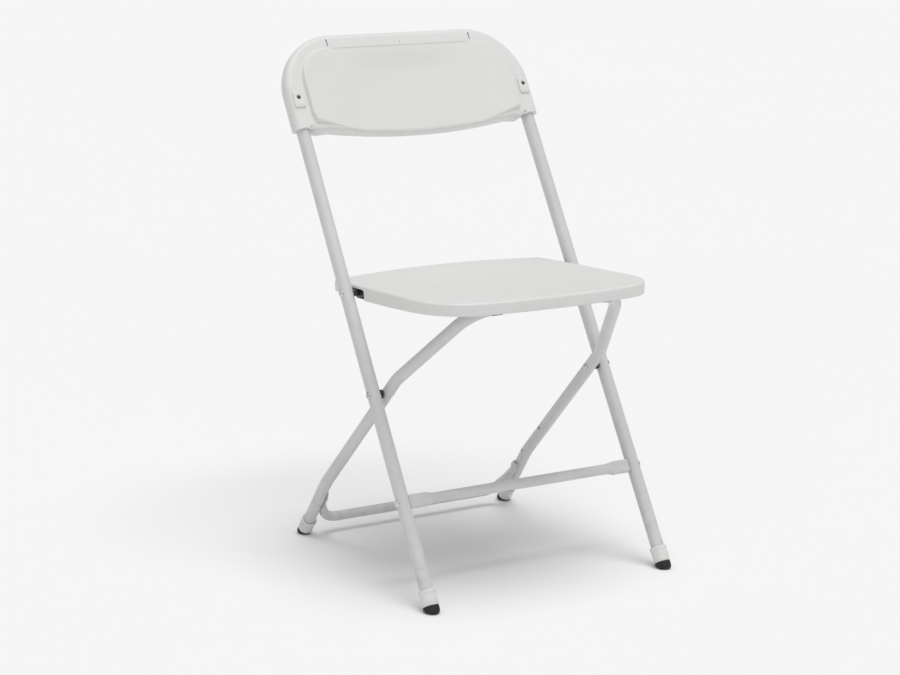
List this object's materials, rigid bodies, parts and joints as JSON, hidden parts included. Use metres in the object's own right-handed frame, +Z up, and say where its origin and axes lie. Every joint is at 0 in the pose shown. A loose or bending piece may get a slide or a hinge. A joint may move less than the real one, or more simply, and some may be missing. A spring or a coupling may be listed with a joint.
{
  "type": "folding chair",
  "caption": "Folding side chair: bent tube frame with crossed legs, moulded seat that swings up, wrap-over backrest, capped feet.",
  "frame": {"origin": "on the floor, under the middle of the chair's bounding box", "axes": "+Z up, the chair faces -Y (a sitter looks along -Y), +X to the right seen from the front"},
  "size_m": [0.4512, 0.5167, 0.8063],
  "materials": {
    "painted_steel": "light grey-white powder coat, satin, with a few small chips",
    "seat_and_back_plastic": "off-white moulded plastic, satin",
    "rivet_steel": "bright zinc",
    "screw_steel": "dark zinc",
    "hinge_steel": "bare sheet steel, dull",
    "dark_plastic": "dark grey nylon",
    "foot_cap_plastic": "white moulded cap",
    "foot_rubber": "black rubber"
  },
  "bodies": {
    "front_frame": {"front_frame": "painted_steel", "front_crossbar": "painted_steel", "backrest_front_shell": "seat_and_back_plastic", "backrest_rear_shell": "seat_and_back_plastic", "backrest_screw_left": "screw_steel", "backrest_screw_right": "screw_steel", "seat_pivot_rivet_left": "rivet_steel", "seat_pivot_rivet_right": "rivet_steel", "cross_pivot_rivet_left": "rivet_steel", "cross_pivot_rivet_right": "rivet_steel", "crossbar_rivet_left": "rivet_steel", "crossbar_rivet_right": "rivet_steel", "front_foot_cap_left": "foot_cap_plastic", "front_foot_cap_right": "foot_cap_plastic", "front_foot_pad_left": "foot_rubber", "front_foot_pad_right": "foot_rubber"},
    "rear_legs": {"rear_leg_frame": "painted_steel", "rear_cross_brace": "painted_steel", "cross_pivot_washer_left": "dark_plastic", "cross_pivot_washer_right": "dark_plastic", "rear_foot_cap_left": "foot_cap_plastic", "rear_foot_cap_right": "foot_cap_plastic", "rear_foot_pad_left": "foot_rubber", "rear_foot_pad_right": "foot_rubber"},
    "seat": {"seat_shell": "seat_and_back_plastic", "seat_hinge_left": "hinge_steel", "seat_hinge_right": "hinge_steel", "seat_pivot_spacer_left": "dark_plastic", "seat_pivot_spacer_right": "dark_plastic", "seat_hinge_screw_front_left": "screw_steel", "seat_hinge_screw_front_right": "screw_steel", "seat_hinge_screw_rear_left": "screw_steel", "seat_hinge_screw_rear_right": "screw_steel", "seat_saddle_left": "dark_plastic", "seat_saddle_middle": "dark_plastic", "seat_saddle_right": "dark_plastic", "seat_saddle_screw_left": "screw_steel", "seat_saddle_screw_middle": "screw_steel", "seat_saddle_screw_right": "screw_steel"}
  },
  "joints": [
    {"name": "leg_fold", "type": "hinge", "parent": "front_frame", "child": "rear_legs", "pos_m": [0, -0.06355, 0.29299], "axis": [-1, 0, 0], "range_deg": [0, 70]},
    {"name": "seat_fold", "type": "hinge", "parent": "front_frame", "child": "seat", "pos_m": [0, 0.0238, 0.43498], "axis": [-1, 0, 0], "range_deg": [0, 110]}
  ],
  "couplings": [
    {"joint": "seat_fold", "follows": "leg_fold", "ratio": 1.5714}
  ]
}
